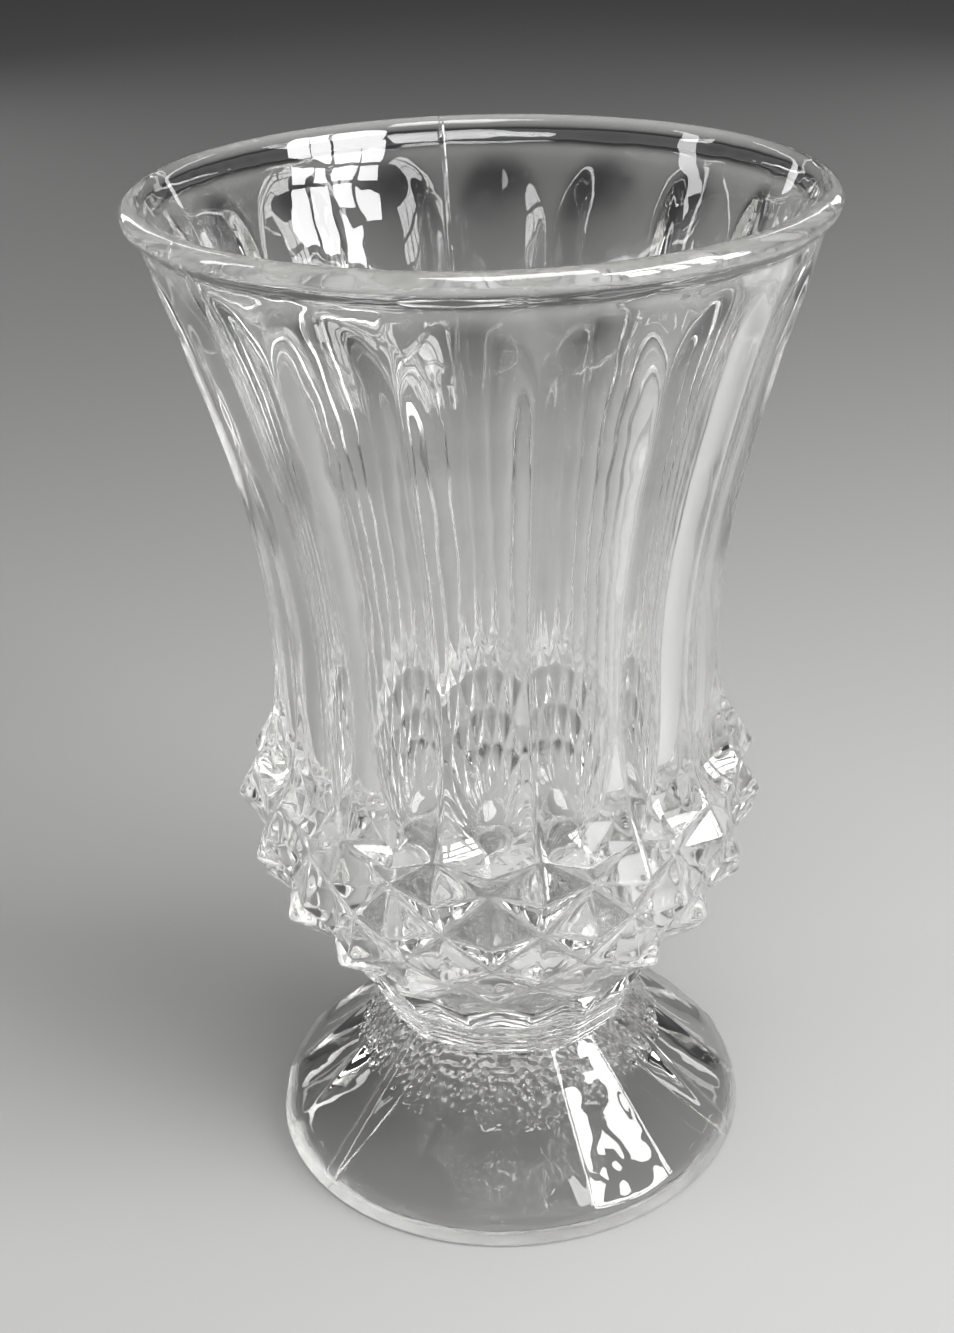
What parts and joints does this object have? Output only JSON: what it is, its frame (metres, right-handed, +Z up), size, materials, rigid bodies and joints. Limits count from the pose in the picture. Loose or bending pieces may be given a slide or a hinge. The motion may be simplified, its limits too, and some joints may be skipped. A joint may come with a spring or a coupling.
{
  "type": "footed vase",
  "caption": "Clear pressed-glass footed vase: flared bowl with arched vertical flutes over rows of raised diamonds, fused to a panelled round foot with a hollow underside.",
  "frame": {"origin": "centre of the circle that the foot stands on, on the table plane", "axes": "+Z up along the axis of the vase, -Y towards the front, where one flute ridge lies"},
  "size_m": [0.114, 0.114, 0.18],
  "materials": {
    "clear_glass": "fire-polished, clear and glossy"
  },
  "bodies": {
    "root": {"bowl": "clear_glass", "foot": "clear_glass"}
  },
  "joints": []
}
